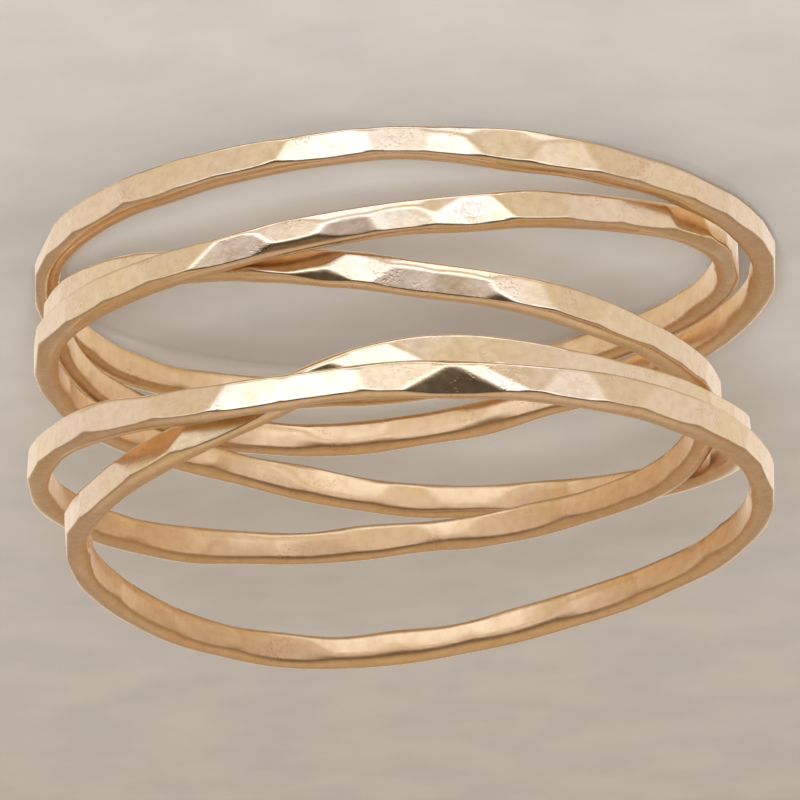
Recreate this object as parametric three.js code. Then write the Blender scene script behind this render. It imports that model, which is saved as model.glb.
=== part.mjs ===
// Wrapped ring: one hammered gold wire wound five times round the finger and joined end to end.
// Millimetres, +Z up. The ring lies on its side on z = 0, with the finger's axis upright through the origin.
// A bearing is an angle round that axis in degrees, 0 at the front (-Y), growing clockwise seen from above.

import * as THREE from "three";
import { ParametricGeometry } from "three/addons/geometries/ParametricGeometry.js";

// The wire: a rounded bar, wider along the finger than it is thick
const WIRE_WIDTH = 0.86;
const WIRE_THICKNESS = 0.68;
const SECTION_POWER = 4; // 2 is an ellipse, and a higher power has squarer corners
const SECTION_SIDES = 8;
const STEPS_PER_TURN = 96;

// Hammer marks: each blow thins the wire and spreads it sideways by these shares
const BLOW_THINNING = 0.05;
const BLOW_SPREADING = 0.04;
const BLOWS_ROUND = 167; // blows along the whole wire
const BLOW_WANDER = 61; // a slower beat that keeps the blows uneven

// Route of the wire's middle: one row for each turn, one column for each bearing.
// The turns follow one another, and the last row runs on into the first.
const BEARINGS = [-90, -60, -30, 0, 30, 60, 90, 120, 150, 180, 210, 240];
const HEIGHTS = {
  top_turn: [6.1, 6.4, 7.0, 7.0, 7.05, 7.15, 7.3, 7.5, 7.85, 8.45, 8.65, 8.3],
  crossing_turn: [7.85, 7.75, 7.15, 6.05, 6.15, 6.15, 5.7, 5.05, 4.45, 4.0, 3.25, 2.95],
  middle_turn: [2.8, 2.9, 2.85, 2.35, 1.8, 1.15, 0.65, 0.38, 0.42, 0.6, 0.95, 0.95],
  floor_turn: [0.45, 0.38, 0.4, 0.38, 0.6, 0.7, 0.7, 0.9, 1.2, 1.8, 2.2, 1.98],
  climbing_turn: [1.6, 2.0, 2.85, 3.7, 4.25, 4.65, 4.75, 5.15, 5.2, 5.3, 5.7, 5.95],
};
const RADII = {
  top_turn: [9.9, 10.0, 9.95, 9.9, 9.85, 9.7, 9.5, 9.35, 9.15, 9.05, 9.0, 8.95],
  crossing_turn: [8.95, 8.95, 8.95, 9.0, 8.95, 8.9, 9.0, 9.15, 9.35, 9.45, 9.55, 9.65],
  middle_turn: [9.65, 9.7, 9.6, 9.3, 9.0, 8.9, 8.9, 9.0, 9.15, 9.35, 9.55, 9.65],
  floor_turn: [9.6, 9.5, 9.5, 9.5, 9.6, 9.7, 9.9, 10.0, 10.0, 9.95, 9.85, 9.65],
  climbing_turn: [9.4, 9.0, 8.75, 8.6, 8.4, 8.25, 8.25, 8.35, 8.6, 8.95, 9.3, 9.65],
};

const TURNS = Object.keys(HEIGHTS);
const FULL_CIRCLE = 2 * Math.PI;
const GOLD = { color: 0xdcb688, roughness: 0.25, metalness: 1.0 };

// Radius and height of the wire's middle, as a closed curve through the stations
function routeProfile() {
  const stations = TURNS.flatMap((turn) =>
    BEARINGS.map((_, column) => new THREE.Vector3(RADII[turn][column], HEIGHTS[turn][column], 0)),
  );
  return new THREE.CatmullRomCurve3(stations, true, "catmullrom");
}

// The wire's middle, for a share from 0 to 1 of its five turns
class WireRoute extends THREE.Curve {
  profile = routeProfile();

  getPoint(share, target = new THREE.Vector3()) {
    const { x: radius, y: height } = this.profile.getPoint(share);
    const bearing = THREE.MathUtils.degToRad(BEARINGS[0]) + share * TURNS.length * FULL_CIRCLE;
    return target.set(-radius * Math.sin(bearing), -radius * Math.cos(bearing), height);
  }
}

// A number whose size is raised to a power and whose sign is kept
function signedPower(value, power) {
  return Math.sign(value) * Math.abs(value) ** power;
}

// How deep the hammer went, from -1 to 1
function hammerDepth(share) {
  const angle = share * FULL_CIRCLE;
  return Math.sin(BLOWS_ROUND * angle + Math.sin(BLOW_WANDER * angle));
}

// Surface of the wire: around runs round the section, and share runs along the route
function wireSurface(route) {
  const outward = new THREE.Vector3();
  const sideways = new THREE.Vector3();

  return (around, share, target) => {
    const place = share % 1;
    const middle = route.getPoint(place);
    const along = route.getTangent(place);
    outward.set(middle.x, middle.y, 0).normalize();
    sideways.crossVectors(outward, along).normalize();
    outward.crossVectors(along, sideways);

    const angle = ((around % 1) + 0.5 / SECTION_SIDES) * FULL_CIRCLE;
    const depth = hammerDepth(place);
    const halfWidth = (WIRE_WIDTH / 2) * (1 + BLOW_SPREADING * depth);
    const halfThickness = (WIRE_THICKNESS / 2) * (1 - BLOW_THINNING * depth);
    target
      .copy(middle)
      .addScaledVector(sideways, halfWidth * signedPower(Math.cos(angle), 2 / SECTION_POWER))
      .addScaledVector(outward, halfThickness * signedPower(Math.sin(angle), 2 / SECTION_POWER));
    target.z = Math.max(target.z, 0); // worn flat where the ring rests
  };
}

function wrappedWire() {
  const steps = STEPS_PER_TURN * TURNS.length;
  const geometry = new ParametricGeometry(wireSurface(new WireRoute()), SECTION_SIDES, steps);
  const wire = new THREE.Mesh(geometry, new THREE.MeshStandardMaterial(GOLD));
  wire.name = "wrapped_wire";
  return wire;
}

const ring = new THREE.Group();
ring.add(wrappedWire());

export default ring;
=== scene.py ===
# Wrapped ring of hammered gold wire, lying on its side on a pale floor.
# Sizes are millimetres in the tables and metres in Blender.
# The finger's axis is upright through the origin.
# A bearing is an angle round that axis in degrees, 0 at the front (-Y), growing clockwise seen from above.

import math

import bpy
import numpy as np
from mathutils import Matrix, Vector


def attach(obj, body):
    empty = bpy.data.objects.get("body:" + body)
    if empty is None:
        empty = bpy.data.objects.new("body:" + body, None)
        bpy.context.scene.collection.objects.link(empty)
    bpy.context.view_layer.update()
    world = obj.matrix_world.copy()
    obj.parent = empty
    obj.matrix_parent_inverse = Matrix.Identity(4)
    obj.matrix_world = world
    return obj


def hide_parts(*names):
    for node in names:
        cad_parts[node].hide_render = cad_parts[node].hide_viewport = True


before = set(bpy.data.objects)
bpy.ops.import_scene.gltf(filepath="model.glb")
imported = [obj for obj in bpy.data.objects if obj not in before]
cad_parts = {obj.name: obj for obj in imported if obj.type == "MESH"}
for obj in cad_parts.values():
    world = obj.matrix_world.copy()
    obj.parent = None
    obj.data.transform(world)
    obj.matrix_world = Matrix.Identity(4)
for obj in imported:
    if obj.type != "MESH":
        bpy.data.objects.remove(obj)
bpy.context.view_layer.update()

MM = 0.001

# Route of the wire's middle: one row for each turn, one column for each bearing.
# The turns follow one another, and the last row runs on into the first.
BEARINGS = [-90, -60, -30, 0, 30, 60, 90, 120, 150, 180, 210, 240]
HEIGHTS = {
    "top_turn": [6.1, 6.4, 7.0, 7.0, 7.05, 7.15, 7.3, 7.5, 7.85, 8.45, 8.65, 8.3],
    "crossing_turn": [7.85, 7.75, 7.15, 6.05, 6.15, 6.15, 5.7, 5.05, 4.45, 4.0, 3.25, 2.95],
    "middle_turn": [2.8, 2.9, 2.85, 2.35, 1.8, 1.15, 0.65, 0.38, 0.42, 0.6, 0.95, 0.95],
    "floor_turn": [0.45, 0.38, 0.4, 0.38, 0.6, 0.7, 0.7, 0.9, 1.2, 1.8, 2.2, 1.98],
    "climbing_turn": [1.6, 2.0, 2.85, 3.7, 4.25, 4.65, 4.75, 5.15, 5.2, 5.3, 5.7, 5.95],
}
RADII = {
    "top_turn": [9.9, 10.0, 9.95, 9.9, 9.85, 9.7, 9.5, 9.35, 9.15, 9.05, 9.0, 8.95],
    "crossing_turn": [8.95, 8.95, 8.95, 9.0, 8.95, 8.9, 9.0, 9.15, 9.35, 9.45, 9.55, 9.65],
    "middle_turn": [9.65, 9.7, 9.6, 9.3, 9.0, 8.9, 8.9, 9.0, 9.15, 9.35, 9.55, 9.65],
    "floor_turn": [9.6, 9.5, 9.5, 9.5, 9.6, 9.7, 9.9, 10.0, 10.0, 9.95, 9.85, 9.65],
    "climbing_turn": [9.4, 9.0, 8.75, 8.6, 8.4, 8.25, 8.25, 8.35, 8.6, 8.95, 9.3, 9.65],
}
TURNS = list(HEIGHTS)

# The wire's section: a rounded blank, which the hammer then flattens
HALF_WIDTH = 0.465
BLANK_OUTSIDE = 0.46
BLANK_INSIDE = 0.46
BLANK_POWER = 2.3
FACE_HEIGHT = 0.315  # from the wire's middle to the hammered outer face
INNER_HEIGHT = 0.30
WIDTH_WANDER = 0.085  # share by which each edge wanders in and out
WIDTH_WANDER_STEP = 1.7
MOST_WANDER = 1.5  # limit of a random draw
MOST_SWELL = 0.25  # share between an edge's limit where turns nearly touch and where it is free
TOUCHING_SHRINK = 0.04  # least share that an edge loses where turns nearly touch
TOUCHING = 0.95  # from middle to middle, where two turns cross
FREE = 1.5  # from middle to middle, where an edge may swell fully
ANOTHER_TURN = 15.0  # stretches this far apart along the wire are on different turns
NEIGHBOUR_STEP = 6  # every sixth step is enough to find a neighbour
STEPS_ALONG = 3420
FINE_STEPS = 8  # for each step, to measure the wire's length
FACE_COLUMNS = [0.17, 0.34, 0.5, 0.63, 0.73, 0.81, 0.88, 0.94, 0.985]  # shares of the half width
INNER_COLUMNS = [0.96, 0.84, 0.6, 0.2]

# Where the wire is wider or narrower: a bearing, and the share that it gains there
SWELLS = {
    "floor_turn": [(-39, 0.20), (-15, -0.10), (2, -0.10), (20, 0.18), (31, 0.08)],
    "climbing_turn": [(15, -0.06), (37, 0.10)],
    "crossing_turn": [(10, 0.08), (24, 0.08)],
    "top_turn": [(-58, 0.10), (-15, -0.08), (0, 0.08), (14, -0.04), (33, 0.10), (46, 0.12)],
}
SWELL_REACH = 1.3

# Where the wire is thinner: a bearing, and how far its inner face moves out there
THINNINGS = {
    "floor_turn": [(20, 0.10), (48, 0.11)],
    "climbing_turn": [(25, 0.08)],
    "top_turn": [(-50, 0.11), (-20, 0.10), (8, 0.10), (36, 0.10), (62, 0.08)],
}
THINNING_REACH = 3.6

# Flat hammer marks on the outer face at the front, as rows of bearing, tilt, sunk and pivot.
# Tilt is how many degrees a mark faces up, sunk is its depth, and pivot is how far above the
# wire's middle it has that depth.
MARKS = {
    "floor_turn": [
        (-67, 0, 0.0, 0), (-55, 2, 0.014, 0), (-40, -3, 0.016, 0), (-25, -5.5, 0.016, 0),
        (-10, 5.0, 0.018, 0), (1.2, 2, 0.004, 0), (8, 4, -0.006, 0), (17, -5.5, 0.014, 0),
        (27, 1, 0.014, 0), (36, -6, 0.012, 0), (46, 1.5, 0.012, 0), (56, -2, 0.0, 0),
        (66, 0, 0.0, 0),
    ],
    "middle_turn": [
        (-67, 0, 0.0, 0), (-57, 2, 0.01, 0), (-47, 0, 0.0, 0), (-36, -5, 0.012, 0),
        (-26, 11.5, 0.012, 0), (-16, 1, 0.014, 0), (-7.5, 12, 0.008, 0), (-1, 9.0, 0.016, 0),
        (6.5, -4, -0.022, 0), (11.2, 5.3, 0.014, 0), (23, -5.5, 0.016, 0), (34, 0.5, 0.01, 0),
        (45, 2, 0.012, 0), (57, -2, 0.0, 0),
    ],
    "climbing_turn": [
        (-58, 0, 0.0, 0), (-45, -2, 0.01, 0), (-33, -4, 0.0, 0), (-18, -9, 0.012, 0),
        (-11.5, 18, -0.02, 0.16), (-6, 3.0, 0.008, 0), (2, 10.2, 0.016, 0), (10, 10.8, 0.018, 0),
        (15, 18, -0.022, 0.12), (21, 0.8, 0.01, 0), (32, -5, 0.01, 0), (43, 1, 0.012, 0),
        (55, -2, 0.0, 0),
    ],
    "crossing_turn": [
        (-24, -5, 0.0, 0), (-13, 17, 0.004, 0.05), (-4, 5, 0.018, 0), (4, -6, 0.004, 0),
        (11, -5.5, 0.014, 0), (21, -3, 0.012, 0), (32, -1, 0.005, 0), (43, 1, 0.01, 0),
        (55, -2, 0.0, 0),
    ],
    "top_turn": [
        (-62, 1, 0.0, 0), (-46, 1.5, 0.014, 0), (-34, -6, 0.016, 0), (-23, 3.2, 0.01, 0),
        (-12.5, 5.3, 0.02, 0), (-1, 1, 0.014, 0), (7.5, 17, 0.0, 0), (13, 5, 0.0, 0),
        (18, -6, 0.006, 0), (25.5, 0.3, 0.016, 0), (34, -6, 0.012, 0), (43, 1, 0.012, 0),
        (54, -2, 0.0, 0),
    ],
}

# Long bevels along an edge, in the same columns
BEVELS = {
    "floor_turn": [(17, -14, -0.004, -0.24)],
    "middle_turn": [(-7, -13, -0.006, -0.17), (-14, 28, 0.0, 0.2)],
    "climbing_turn": [(6, -13, -0.004, -0.24)],
    "top_turn": [(-13, 22, -0.01, 0.3)],
}

# Marks on the inner face at the back, in the same columns
INNER_MARKS = {
    "floor_turn": [(205, 4, 0.01, 0), (189, -13, 0.01, -0.15), (176, -3, 0.01, 0)],
    "crossing_turn": [(206, 6, 0.01, 0), (192, -12, 0.03, 0), (179, -3, 0.01, 0), (169, -12, 0.03, 0)],
    "climbing_turn": [(212, 6, 0.02, 0), (199, 6, 0.025, 0), (184, -2, 0.025, 0), (173, -13, 0.01, -0.15)],
    "top_turn": [
        (206, 4, 0.015, 0), (192, -13, 0.01, -0.15), (176, -13, 0.0, -0.2), (161, -13, 0.01, -0.1),
    ],
}

# Hammer marks everywhere else, drawn at random from a fixed seed
SEED = 7
MARK_STEP = (0.9, 2.0)
MARK_TILT = 6.0
MARK_TURN = 1.5
MARK_SUNK = 0.02
MARK_PIVOT = 0.1
MARK_CLEARANCE = 1.0  # no random mark this near a listed mark, bevels apart
INNER_STEP = (1.8, 3.4)
INNER_TILT = 5.0
RING_RADIUS = 9.4  # the wire's own bend, which a flat mark takes away
BEVEL_RADIUS = 60.0  # a bevel nearly follows the bend
INNER_MARK_RADIUS = 14.0  # a mark on the inner face is a shallow hollow
RIDGE_SOFTNESS = 0.004
MARK_REACH = 5.0  # further off, a mark is above its neighbours
UNCUT = 0.1  # over the face, where no mark reaches

# The gold
GOLD_ROSY = (0.93, 0.757, 0.61)
GOLD_YELLOW = (0.92, 0.742, 0.52)
# Deeper gold for the inner face: painted shade, for the shaded inside of the ring that it reflects
GOLD_INSIDE_PAINTED_SHADE = (0.89, 0.64, 0.40)
STAIN_SHADE = (0.93, 0.915, 0.89)
PIT_SHADE = (0.88, 0.83, 0.77)
CLEAN = (1.0, 1.0, 1.0)
POLISHED, DULL = 0.15, 0.27  # roughness
INSIDE_DULLER = 0.10
CORNER_DULLER = 0.9  # times a share of at most a quarter

# Noise on the gold, in waves to the metre, and the noise values between which its effect sets in
ALLOY = {"waves": 420, "detail": 3}
ALLOY_RANGE = (0.38, 0.56)
STAINS = {"waves": 4200, "detail": 5}
STAIN_RANGE = (0.36, 0.58)
SMEARS = {"waves": 1900, "detail": 4}
SMEAR_RANGE = (0.3, 0.75)
PITS = {"waves": 13000, "detail": 1}
PIT_RANGE = (0.36, 0.46)
PATCHES = {"waves": 1100, "detail": 1}
PATCH_RANGE = (0.55, 0.7)
RIPPLES = {"waves": 1500, "detail": 2}
GRAIN = {"waves": 9000, "detail": 3}
RIPPLE_DEPTH = 0.006
GRAIN_DEPTH = 0.0012
PIT_DEPTH = 0.002

# The floor
FLOOR_HALF = 2000.0
FLOOR_DARK = (0.565, 0.57, 0.58)
FLOOR_LIGHT = (0.615, 0.62, 0.625)
FLOOR_ROUGHNESS = 0.9
FLOOR_NOISE = {"waves": 320, "detail": 5}
FLOOR_RANGE = (0.35, 0.65)

# Lamps, aimed at the origin: a place, a size and a power in watts
LAMPS = {
    "key": ((5, -200, 74), 50, 0.52),
    "overhead": ((0, 40, 260), 220, 0.14),
}

# The surroundings that the gold reflects: a colour at each elevation, at the front and all around
FRONT_BANDS = [
    (-65, (0.34, 0.27, 0.19)),
    (-50, (1.4, 1.5, 1.65)),
    (-39, (1.4, 1.5, 1.65)),
    (-31, (0.66, 0.56, 0.38)),
    (-18, (0.80, 0.74, 0.67)),
    (-13, (1.7, 1.85, 2.1)),
    (-5, (1.7, 1.85, 2.1)),
    (-1, (0.66, 0.59, 0.51)),
    (5, (0.32, 0.27, 0.22)),
    (11, (0.075, 0.06, 0.045)),
    (28, (0.075, 0.06, 0.045)),
    (42, (0.34, 0.23, 0.12)),
    (75, (0.57, 0.44, 0.30)),
]
AROUND_BANDS = [
    (-62, (0.42, 0.33, 0.23)),
    (-32, (0.72, 0.62, 0.45)),
    (-18, (0.84, 0.78, 0.71)),
    (-6, (0.80, 0.72, 0.63)),
    (2, (0.48, 0.37, 0.25)),
    (15, (0.35, 0.25, 0.16)),
    (30, (0.39, 0.28, 0.18)),
    (55, (0.57, 0.44, 0.30)),
    (90, (0.57, 0.44, 0.30)),
]
FRONT_RANGE = (0.26, 0.7)  # cosines of the bearing between which the front sets in
BEHIND_RANGE = (-0.45, -0.95)
BEHIND_STRENGTH = 1.15
LEAST_LEVEL = 0.001  # keeps the bearing defined straight up and down

# The camera, which is turned over: the end of the ring on the floor is at the top of the picture
VIEW_CENTRE = (0.127, -0.031, 4.203)
VIEW_DISTANCE = 200.0
VIEW_ELEVATION = 18.67
VIEW_ROLL = 177.75
LENS = 333.0
SENSOR = 36.0
CLIP_START = 1.0
CLIP_END = 100000.0


def smooth_loop(values, place):
    """Values of a closed smooth curve through evenly spaced stations, at places counted in stations."""
    values = np.asarray(values, dtype=float)
    first = np.floor(place).astype(int)
    part = place - first
    before, start, end, after = (values[(first + shift) % len(values)] for shift in (-1, 0, 1, 2))
    bend = 2 * before - 5 * start + 4 * end - after
    twist = 3 * start - before - 3 * end + after
    return start + 0.5 * part * (end - before + part * (bend + part * twist))


def route_points(shares):
    """Places on the wire's middle, for shares from 0 to 1 of its five turns."""
    radii = np.concatenate([RADII[turn] for turn in TURNS])
    heights = np.concatenate([HEIGHTS[turn] for turn in TURNS])
    radius = smooth_loop(radii, shares * len(radii))
    height = smooth_loop(heights, shares * len(heights))
    bearing = math.radians(BEARINGS[0]) + shares * len(TURNS) * 2 * math.pi
    return np.stack([-radius * np.sin(bearing), -radius * np.cos(bearing), height], axis=1)


def unit(vectors):
    return vectors / np.linalg.norm(vectors, axis=1, keepdims=True)


class Wire:
    """The wire's middle in equal steps, with its directions and the distance along it."""

    def __init__(self):
        fine_shares = np.linspace(0, 1, STEPS_ALONG * FINE_STEPS + 1)
        fine = route_points(fine_shares)
        gone = np.concatenate([[0], np.cumsum(np.linalg.norm(np.diff(fine, axis=0), axis=1))])
        self.length = gone[-1]
        self.distance = np.arange(STEPS_ALONG) * self.length / STEPS_ALONG
        self.fine_shares, self.gone = fine_shares, gone
        self.middle = route_points(np.interp(self.distance, gone, fine_shares))
        self.along = unit(np.roll(self.middle, -1, axis=0) - np.roll(self.middle, 1, axis=0))
        radial = unit(self.middle * (1, 1, 0))
        self.up = unit(np.cross(self.along, radial))
        self.outward = np.cross(self.up, self.along)

    def distance_at(self, turn, bearing):
        share = (TURNS.index(turn) + (bearing - BEARINGS[0]) / 360) / len(TURNS)
        return np.interp(share, self.fine_shares, self.gone)


def room_beside(wire):
    """How free the wire is of its other turns, from 0 where they nearly touch to 1."""
    few = slice(0, None, NEIGHBOUR_STEP)
    apart = np.linalg.norm(wire.middle[few, None] - wire.middle[None, few], axis=2)
    gap = np.abs(wire.distance[few, None] - wire.distance[None, few])
    apart[np.minimum(gap, wire.length - gap) < ANOTHER_TURN] = np.inf
    nearest = np.interp(wire.distance, wire.distance[few], apart.min(axis=1))
    return ((nearest - TOUCHING) / (FREE - TOUCHING)).clip(0, 1)


def bumps(wire, table, reach):
    """Sum of smooth bumps along the wire, from rows of a bearing and a height."""
    total = np.zeros(STEPS_ALONG)
    for turn, rows in table.items():
        for bearing, height in rows:
            total += height * np.exp(-(((wire.distance - wire.distance_at(turn, bearing)) / reach) ** 2))
    return total


def wandering_edge(wire, draw, room):
    """Half width along one edge of the wire, which swells only where there is room."""
    stations = int(wire.length / WIDTH_WANDER_STEP)
    heights = draw.normal(0, 1, stations).clip(-MOST_WANDER, MOST_WANDER)
    wander = WIDTH_WANDER * smooth_loop(heights, wire.distance / wire.length * stations)
    swell = bumps(wire, SWELLS, SWELL_REACH)
    return HALF_WIDTH * (1 + np.minimum(wander + swell, MOST_SWELL * room - TOUCHING_SHRINK))


def placed_marks(wire, table, radius):
    return [
        {"place": wire.distance_at(turn, bearing), "turn": 0, "radius": radius}
        | {"tilt": tilt, "sunk": sunk, "pivot": pivot}
        for turn, rows in table.items()
        for bearing, tilt, sunk, pivot in rows
    ]


def random_marks(wire, draw, step, tilt, radius, clear_of):
    marks = []
    place = 0.0
    while place < wire.length:
        nearest = min((abs(place - mark["place"]) for mark in clear_of), default=MARK_CLEARANCE)
        mark = {
            "place": place,
            "radius": radius,
            "tilt": draw.normal(0, tilt),
            "turn": draw.normal(0, MARK_TURN),
            "sunk": draw.uniform(0, MARK_SUNK),
            "pivot": draw.uniform(-MARK_PIVOT, MARK_PIVOT),
        }
        if nearest >= MARK_CLEARANCE:
            marks.append(mark)
        place += draw.uniform(*step)
    return marks


def soft_minimum(first, second):
    """The lower of two heights, with a slightly rounded ridge where they meet."""
    overlap = np.maximum(RIDGE_SOFTNESS - np.abs(first - second), 0)
    return np.minimum(first, second) - overlap**2 / (4 * RIDGE_SOFTNESS)


def hammered_height(wire, across, marks, height):
    """Height of a hammered face over the wire's middle: the lowest of its flat marks at each point."""
    lowest = np.full(across.shape, height + UNCUT)
    for mark in marks:
        gap = wire.distance - mark["place"]
        gap = (gap + wire.length / 2) % wire.length - wire.length / 2
        near = np.abs(gap) < MARK_REACH
        reach = gap[near, None]
        flat = (
            height
            - mark["sunk"]
            - math.tan(math.radians(mark["turn"])) * reach
            - math.tan(math.radians(mark["tilt"])) * (across[near] - mark["pivot"])
            + reach**2 / (2 * mark["radius"])
        )
        lowest[near] = soft_minimum(lowest[near], flat)
    return lowest


def blank_height(share, full):
    """Height of the unhammered wire, for a share of its half width."""
    return full * np.maximum(1 - np.abs(share) ** BLANK_POWER, 0) ** (1 / BLANK_POWER)


def wire_mesh():
    wire = Wire()
    draw = np.random.default_rng(SEED)

    # Columns round the section: the outer face from below upwards, the top edge, then the inner face
    outer = np.array([-share for share in reversed(FACE_COLUMNS)] + [0] + FACE_COLUMNS)
    inner = np.array(INNER_COLUMNS + [-share for share in reversed(INNER_COLUMNS)])
    shares = np.concatenate([outer, [1.0], inner, [-1.0]])
    face = slice(0, len(outer))
    back = slice(len(outer) + 1, len(outer) + 1 + len(inner))

    # Each edge wanders by itself
    room = room_beside(wire)
    upper = wandering_edge(wire, draw, room)
    lower = wandering_edge(wire, draw, room)
    across = np.where(shares[None] > 0, upper[:, None], lower[:, None]) * shares[None]

    # The hammer only takes away what stands above its marks
    front_marks = placed_marks(wire, MARKS, RING_RADIUS)
    outer_marks = front_marks + placed_marks(wire, BEVELS, BEVEL_RADIUS)
    outer_marks += random_marks(wire, draw, MARK_STEP, MARK_TILT, RING_RADIUS, front_marks)
    inner_marks = placed_marks(wire, INNER_MARKS, INNER_MARK_RADIUS)
    inner_marks += random_marks(wire, draw, INNER_STEP, INNER_TILT, INNER_MARK_RADIUS, inner_marks)
    out = np.zeros_like(across)
    cut = hammered_height(wire, across[:, face], outer_marks, FACE_HEIGHT)
    out[:, face] = np.minimum(blank_height(shares[None, face], BLANK_OUTSIDE), cut)
    cut = hammered_height(wire, across[:, back], inner_marks, INNER_HEIGHT)
    cut -= bumps(wire, THINNINGS, THINNING_REACH)[:, None]
    out[:, back] = -np.minimum(blank_height(shares[None, back], BLANK_INSIDE), cut)

    points = (
        wire.middle[:, None]
        + across[:, :, None] * wire.up[:, None]
        + out[:, :, None] * wire.outward[:, None]
    )
    points[:, :, 2] = np.maximum(points[:, :, 2], 0)  # worn flat where the ring rests
    columns = len(shares)
    step, column = np.meshgrid(np.arange(STEPS_ALONG), np.arange(columns), indexing="ij")
    next_step, next_column = (step + 1) % STEPS_ALONG, (column + 1) % columns
    corners = [(step, column), (step, next_column), (next_step, next_column), (next_step, column)]
    faces = np.stack([(row * columns + col).ravel() for row, col in corners], axis=1)

    mesh = bpy.data.meshes.new("hammered_wire")
    mesh.from_pydata((points.reshape(-1, 3) * MM).tolist(), [], faces.tolist())
    mesh.shade_smooth()
    # Marks the inner face, which the gold material darkens there with painted shade and makes duller
    inside = mesh.attributes.new("inside", "FLOAT", "POINT")
    inside.data.foreach_set("value", np.tile(np.clip(-out[0] / INNER_HEIGHT, 0, 1), STEPS_ALONG))
    return mesh


class Nodes:
    """Adds nodes to a tree and links them by socket name, or by number where the name is like _0."""

    def __init__(self, tree):
        self.tree = tree
        tree.nodes.clear()

    def add(self, kind, settings=None, **sockets):
        node = self.tree.nodes.new(kind)
        for name, value in (settings or {}).items():
            setattr(node, name, value)
        for name, value in sockets.items():
            self.set(node, name, value)
        return node

    def set(self, node, name, value):
        socket = node.inputs[int(name[1:])] if name[0] == "_" else node.inputs[name.replace("_", " ")]
        if isinstance(value, bpy.types.NodeSocket):
            self.tree.links.new(value, socket)
        else:
            socket.default_value = value

    def math(self, operation, first, second=0.0):
        return self.add("ShaderNodeMath", {"operation": operation}, _0=first, _1=second).outputs[0]

    def noise(self, place, waves, detail):
        return self.add("ShaderNodeTexNoise", Vector=place, Scale=waves, Detail=detail).outputs["Fac"]

    def remap(self, value, limits, start=0.0, end=1.0, curve="LINEAR"):
        low, high = limits
        settings = {"interpolation_type": curve}
        node = self.add("ShaderNodeMapRange", settings, Value=value, _1=low, _2=high, _3=start, _4=end)
        return node.outputs[0]

    def mix(self, share, first, second, blend="MIX"):
        settings = {"data_type": "RGBA", "blend_type": blend}
        return self.add("ShaderNodeMix", settings, _0=share, _6=first, _7=second).outputs[2]

    def ramp(self, factor, stops):
        node = self.add("ShaderNodeValToRGB", Fac=factor)
        elements = node.color_ramp.elements
        while len(elements) < len(stops):
            elements.new(0.5)
        for element, (position, colour) in zip(elements, stops):
            element.position = position
            element.color = (*colour, 1)
        return node.outputs["Color"]

    def bump(self, height, depth, normal=None, strength=1.0):
        node = self.add("ShaderNodeBump", Strength=strength, Distance=depth * MM, Height=height)
        if normal is not None:
            self.set(node, "Normal", normal)
        return node.outputs[0]


def gold_material():
    material = bpy.data.materials.new("hammered_gold")
    material.use_nodes = True
    nodes = Nodes(material.node_tree)
    place = nodes.add("ShaderNodeTexCoord").outputs["Object"]
    inside = nodes.add("ShaderNodeAttribute", {"attribute_name": "inside"}).outputs["Fac"]

    # Slow changes of alloy, a deeper gold on the inner face as painted shade for the shaded inside of the
    # ring that it reflects, and faint stains
    alloy = nodes.ramp(nodes.noise(place, **ALLOY), list(zip(ALLOY_RANGE, (GOLD_YELLOW, GOLD_ROSY))))
    colour = nodes.mix(inside, alloy, (*GOLD_INSIDE_PAINTED_SHADE, 1))
    stain = nodes.ramp(nodes.noise(place, **STAINS), list(zip(STAIN_RANGE, (STAIN_SHADE, CLEAN))))
    colour = nodes.mix(1.0, colour, stain, "MULTIPLY")

    # Pits in patches, a little darker than the gold around them
    pit = nodes.remap(nodes.noise(place, **PITS), PIT_RANGE)
    patch = nodes.remap(nodes.noise(place, **PATCHES), PATCH_RANGE)
    speck = nodes.math("MULTIPLY", patch, nodes.math("SUBTRACT", 1.0, pit))
    colour = nodes.mix(speck, colour, (*PIT_SHADE, 1), "MULTIPLY")

    # Polish, duller on the inner face and dullest at its corners
    rough = nodes.remap(nodes.noise(place, **SMEARS), SMEAR_RANGE, POLISHED, DULL)
    rough = nodes.math("ADD", rough, nodes.math("MULTIPLY", inside, INSIDE_DULLER))
    corner = nodes.math("MULTIPLY", inside, nodes.math("SUBTRACT", 1.0, inside))
    rough = nodes.math("ADD", rough, nodes.math("MULTIPLY", corner, CORNER_DULLER))

    # Ripples, grain and the pits
    bump = nodes.bump(nodes.noise(place, **RIPPLES), RIPPLE_DEPTH)
    bump = nodes.bump(nodes.noise(place, **GRAIN), GRAIN_DEPTH, bump)
    bump = nodes.bump(pit, PIT_DEPTH, bump, patch)

    shader = nodes.add(
        "ShaderNodeBsdfPrincipled", Base_Color=colour, Metallic=1.0, Roughness=rough, Normal=bump
    )
    nodes.add("ShaderNodeOutputMaterial", Surface=shader.outputs["BSDF"])
    return material


def add_ring():
    ring = bpy.data.objects.new("wrapped_wire_visual", wire_mesh())
    bpy.context.collection.objects.link(ring)
    ring.data.materials.append(gold_material())
    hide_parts("wrapped_wire")
    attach(ring, "root")


def floor_material():
    material = bpy.data.materials.new("pale_floor")
    material.use_nodes = True
    nodes = Nodes(material.node_tree)
    place = nodes.add("ShaderNodeTexCoord").outputs["Object"]
    cloud = nodes.noise(place, **FLOOR_NOISE)
    colour = nodes.ramp(cloud, list(zip(FLOOR_RANGE, (FLOOR_DARK, FLOOR_LIGHT))))
    shader = nodes.add("ShaderNodeBsdfPrincipled", Base_Color=colour, Roughness=FLOOR_ROUGHNESS)
    nodes.add("ShaderNodeOutputMaterial", Surface=shader.outputs["BSDF"])
    return material


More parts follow.
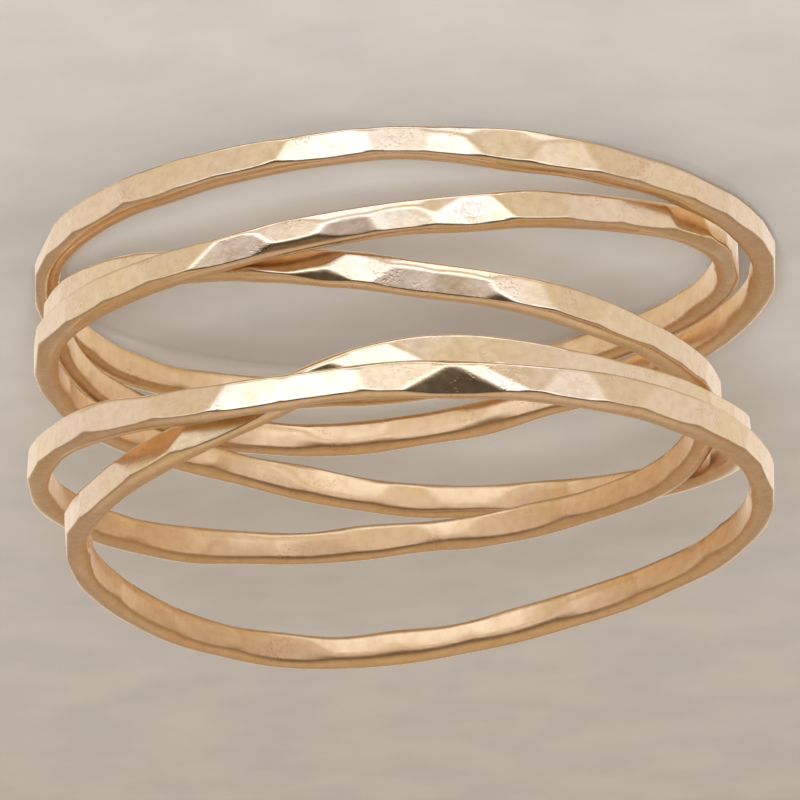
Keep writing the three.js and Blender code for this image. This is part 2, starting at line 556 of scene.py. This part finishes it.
def add_floor():
    mesh = bpy.data.meshes.new("floor")
    half = FLOOR_HALF * MM
    corners = [(-half, -half, 0), (half, -half, 0), (half, half, 0), (-half, half, 0)]
    mesh.from_pydata(corners, [], [(0, 1, 2, 3)])
    mesh.materials.append(floor_material())
    floor = bpy.data.objects.new("floor", mesh)
    bpy.context.collection.objects.link(floor)
    floor.visible_glossy = False


def add_lamp(name, place, size, power):
    data = bpy.data.lights.new(name, "AREA")
    data.size = size * MM
    data.energy = power
    lamp = bpy.data.objects.new(name, data)
    lamp.location = Vector(place) * MM
    lamp.rotation_mode = "QUATERNION"
    lamp.rotation_quaternion = (-Vector(place)).to_track_quat("-Z", "Y")
    lamp.visible_glossy = False
    lamp.visible_camera = False
    bpy.context.collection.objects.link(lamp)


def by_elevation(bands):
    """Ramp stops for bands of colour, with elevations from -90 to 90 degrees as positions from 0 to 1."""
    return [(degrees / 180 + 0.5, colour) for degrees, colour in bands]


def add_surroundings():
    """A soft studio: white bands low in front, a dark band above them, and pale to brown ones around."""
    world = bpy.data.worlds.new("studio")
    bpy.context.scene.world = world
    world.use_nodes = True
    nodes = Nodes(world.node_tree)
    direction = nodes.add("ShaderNodeTexCoord").outputs["Generated"]
    parts = nodes.add("ShaderNodeSeparateXYZ", Vector=direction).outputs
    back, height = parts["Y"], parts["Z"]
    elevation = nodes.math("ADD", nodes.math("DIVIDE", nodes.math("ARCSINE", height), math.pi), 0.5)
    level = nodes.math("SQRT", nodes.math("SUBTRACT", 1.0, nodes.math("MULTIPLY", height, height)))
    level = nodes.math("MAXIMUM", level, LEAST_LEVEL)
    facing = nodes.math("DIVIDE", nodes.math("MULTIPLY", back, -1.0), level)

    front = nodes.ramp(elevation, by_elevation(FRONT_BANDS))
    around = nodes.ramp(elevation, by_elevation(AROUND_BANDS))
    colour = nodes.mix(nodes.remap(facing, FRONT_RANGE, curve="SMOOTHSTEP"), around, front)
    strength = nodes.remap(facing, BEHIND_RANGE, 1.0, BEHIND_STRENGTH, "SMOOTHSTEP")
    background = nodes.add("ShaderNodeBackground", Color=colour, Strength=strength)
    nodes.add("ShaderNodeOutputWorld", Surface=background.outputs[0])


def add_camera():
    data = bpy.data.cameras.new("camera")
    data.lens = LENS
    data.sensor_width = SENSOR
    data.clip_start = CLIP_START * MM
    data.clip_end = CLIP_END * MM
    camera = bpy.data.objects.new("camera", data)
    elevation = math.radians(VIEW_ELEVATION)
    towards = Vector((0, -math.cos(elevation), math.sin(elevation)))
    upright = Matrix.Rotation(math.radians(90 - VIEW_ELEVATION), 4, "X")
    roll = Matrix.Rotation(math.radians(VIEW_ROLL), 4, "Z")
    place = Vector(VIEW_CENTRE) + VIEW_DISTANCE * towards
    camera.matrix_world = Matrix.Translation(place * MM) @ upright @ roll
    bpy.context.collection.objects.link(camera)
    bpy.context.scene.camera = camera


add_ring()
add_floor()
add_surroundings()
for lamp_name, (lamp_place, lamp_size, lamp_power) in LAMPS.items():
    add_lamp(lamp_name, lamp_place, lamp_size, lamp_power)
add_camera()
bpy.context.scene.view_settings.view_transform = "Standard"
